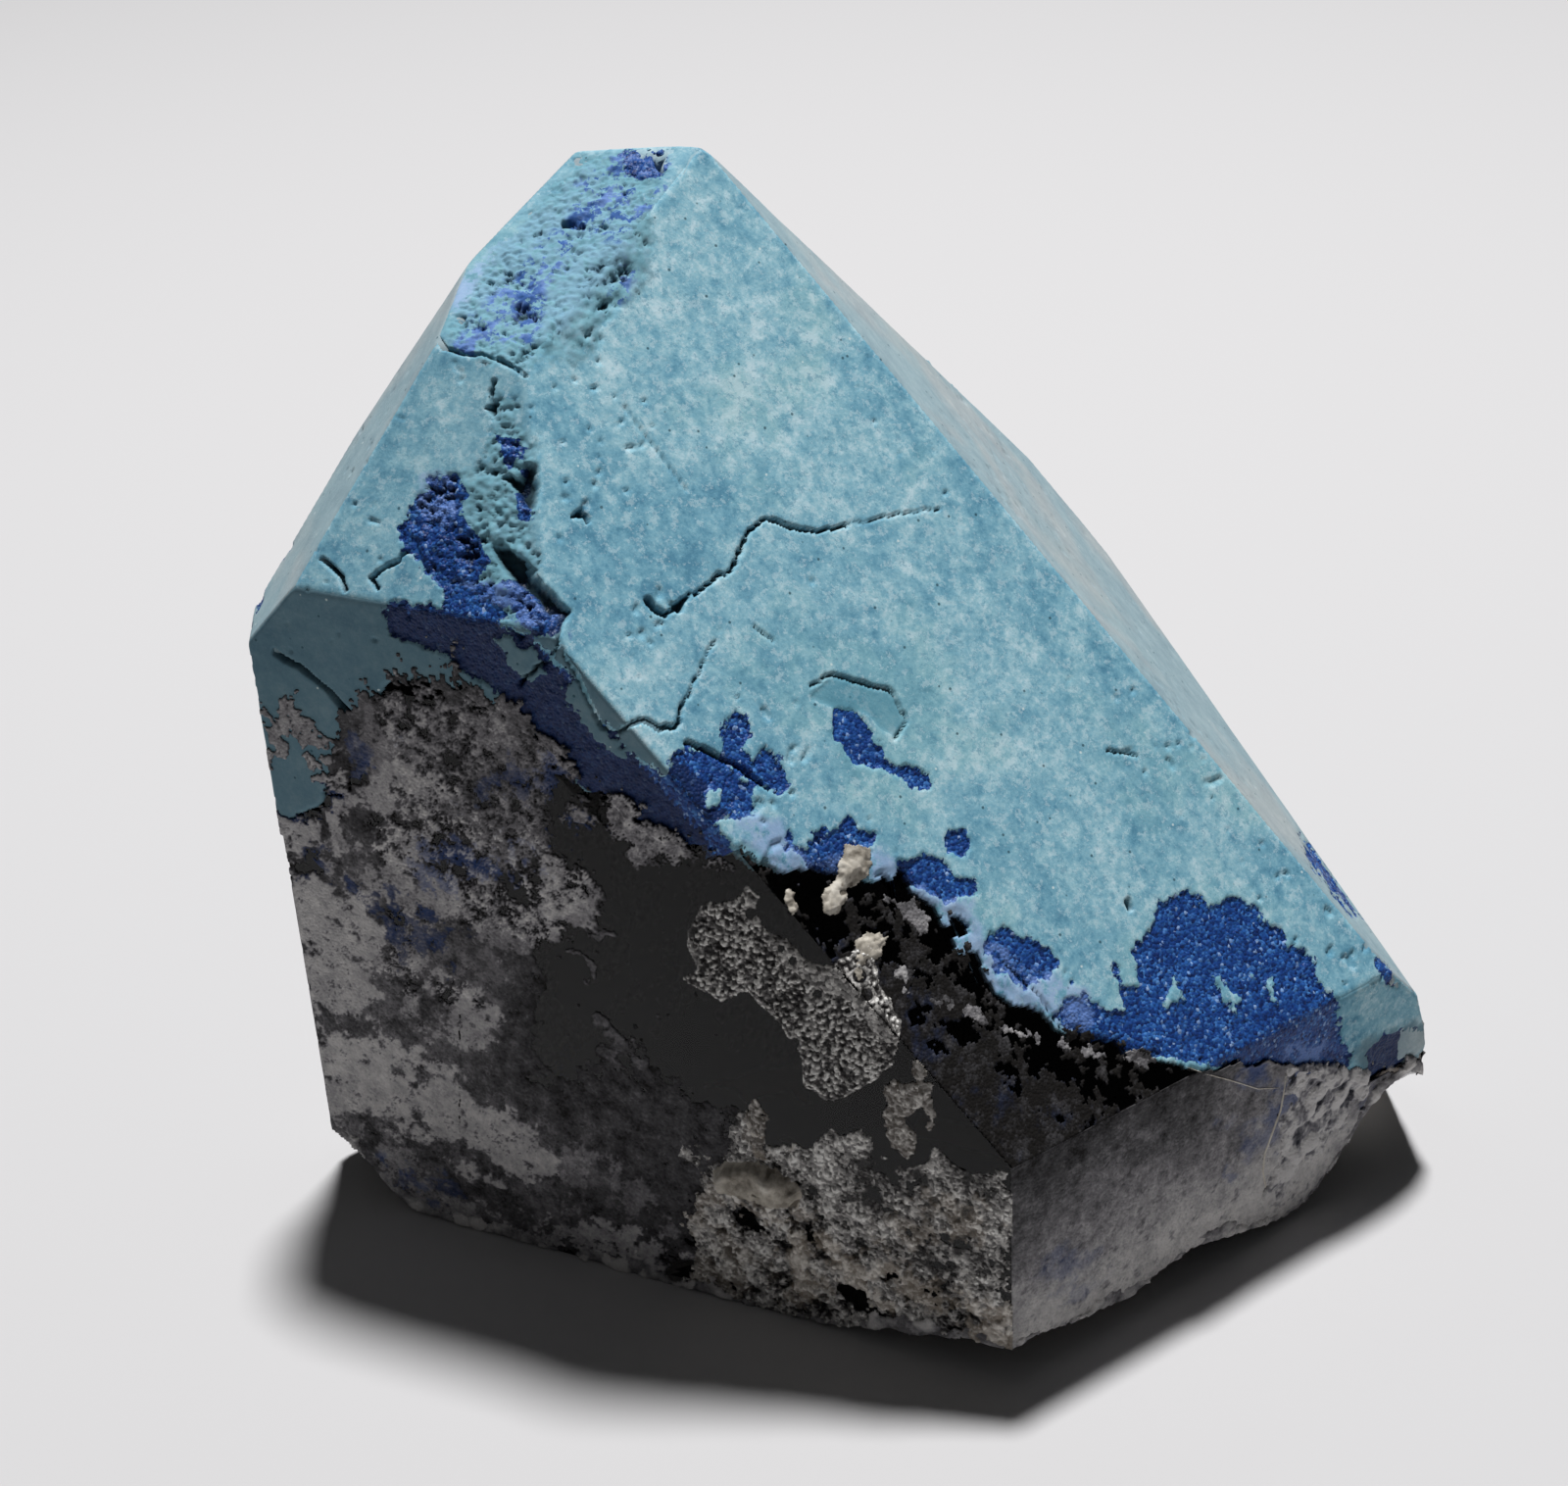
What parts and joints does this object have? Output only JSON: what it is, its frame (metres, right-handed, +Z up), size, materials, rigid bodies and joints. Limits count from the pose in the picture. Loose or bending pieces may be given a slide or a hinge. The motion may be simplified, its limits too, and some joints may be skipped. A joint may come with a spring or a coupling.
{
  "type": "shattuckite mineral specimen",
  "caption": "Broken quartz crystal point coated on its upper faces with a thin turquoise and royal-blue shattuckite crust, resting on its fracture.",
  "frame": {"origin": "middle of the base, at the height of the flat fracture that it rests on", "axes": "+Z up, along the crystal's long axis; the clear front prism face looks along -Y; the great coated slope falls towards +X"},
  "size_m": [0.0419, 0.0304, 0.0404],
  "materials": {
    "quartz_crystal": "clear, with dust, cream druse and a chipped fracture",
    "shattuckite_crust": "matt turquoise skin over sparkling royal blue grains"
  },
  "bodies": {
    "root": {"quartz_crystal": "quartz_crystal", "shattuckite_crust": "shattuckite_crust"}
  },
  "joints": []
}
